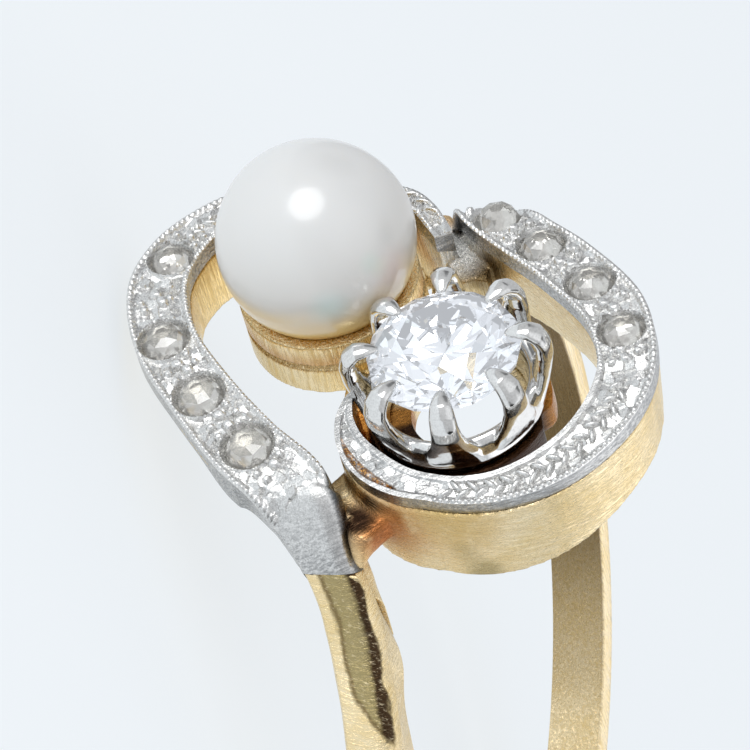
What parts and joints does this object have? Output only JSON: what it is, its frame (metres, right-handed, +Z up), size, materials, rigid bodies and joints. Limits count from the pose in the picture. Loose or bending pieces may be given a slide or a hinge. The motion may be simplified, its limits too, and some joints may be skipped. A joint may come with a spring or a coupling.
{
  "type": "pearl and diamond crossover ring",
  "caption": "Crossover finger ring: two tapering ribbons leave a narrow hoop and curl round a pearl and a claw-set round diamond, with small rose cut stones along each ribbon.",
  "frame": {"origin": "middle of the bottom of the box that holds the ring as it lies on its side", "axes": "+Z up from the surface the ring lies on, +Y from the back of the hoop towards the head, +X across the hoop, so the finger hole runs nearly along Z"},
  "size_m": [0.0192, 0.024, 0.0122],
  "materials": {
    "yellow_gold": "worn yellow gold, brushed on the head's walls and softly polished on the hoop, with brown tarnish at the solder",
    "platinum": "white metal with fine scratches, milgrain along its edges and bright cut engraving at its taper",
    "platinum_claws": "polished white metal",
    "diamond": "polished brilliant cut diamond",
    "rose_diamond": "polished rose cut diamond",
    "pearl": "nacre, cream white with a soft lustre and a faint pink and green overtone"
  },
  "bodies": {
    "root": {"gold_mount": "yellow_gold", "platinum_ribbon_pearl": "platinum", "platinum_ribbon_diamond": "platinum", "claw_setting": "platinum_claws", "brilliant": "diamond", "pearl": "pearl", "rose_diamond_1": "rose_diamond", "rose_diamond_2": "rose_diamond", "rose_diamond_3": "rose_diamond", "rose_diamond_4": "rose_diamond", "rose_diamond_5": "rose_diamond", "rose_diamond_6": "rose_diamond", "rose_diamond_7": "rose_diamond", "rose_diamond_8": "rose_diamond"}
  },
  "joints": []
}
